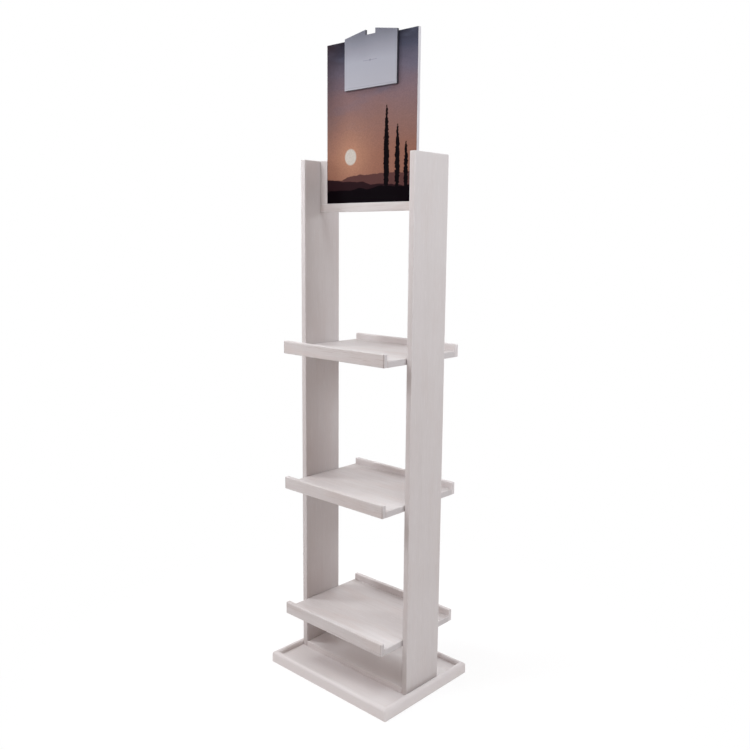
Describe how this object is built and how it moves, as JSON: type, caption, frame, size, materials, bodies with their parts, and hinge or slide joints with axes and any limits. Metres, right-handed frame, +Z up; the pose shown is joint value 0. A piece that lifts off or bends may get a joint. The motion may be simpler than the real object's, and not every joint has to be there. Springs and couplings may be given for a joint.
{
  "type": "display stand",
  "caption": "Free-standing display stand of limed boards: tray shelves between tall uprights on a rimmed base, with a printed header panel held in a frame at the top.",
  "frame": {"origin": "middle of the base's underside, on the floor", "axes": "+X along the shelves to the right as seen from the front, -Y towards the front, +Z up"},
  "size_m": [0.476, 0.364, 1.8689],
  "materials": {
    "limed_wood": "whitewashed, matt",
    "printed_board": "printed face, satin",
    "sign_laminate": "matt",
    "dowel_wood": "raw",
    "screw_steel": "zinc plated"
  },
  "bodies": {
    "root": {"base_board": "limed_wood", "base_rim_front": "limed_wood", "base_rim_back": "limed_wood", "base_rim_left": "limed_wood", "base_rim_right": "limed_wood", "bottom_board": "limed_wood", "upright_left": "limed_wood", "upright_right": "limed_wood", "shelf_board_low": "limed_wood", "shelf_lip_front_low": "limed_wood", "shelf_lip_back_low": "limed_wood", "shelf_board_middle": "limed_wood", "shelf_lip_front_middle": "limed_wood", "shelf_lip_back_middle": "limed_wood", "shelf_board_top": "limed_wood", "shelf_lip_front_top": "limed_wood", "shelf_lip_back_top": "limed_wood", "header_rail": "limed_wood", "header_stile_left": "limed_wood", "header_stile_right": "limed_wood", "header_panel": "printed_board", "sign_plate": "sign_laminate", "shelf_dowels": "dowel_wood", "header_dowels": "dowel_wood", "upright_screws": "screw_steel", "bottom_screws": "screw_steel", "panel_screws": "screw_steel"}
  },
  "joints": []
}
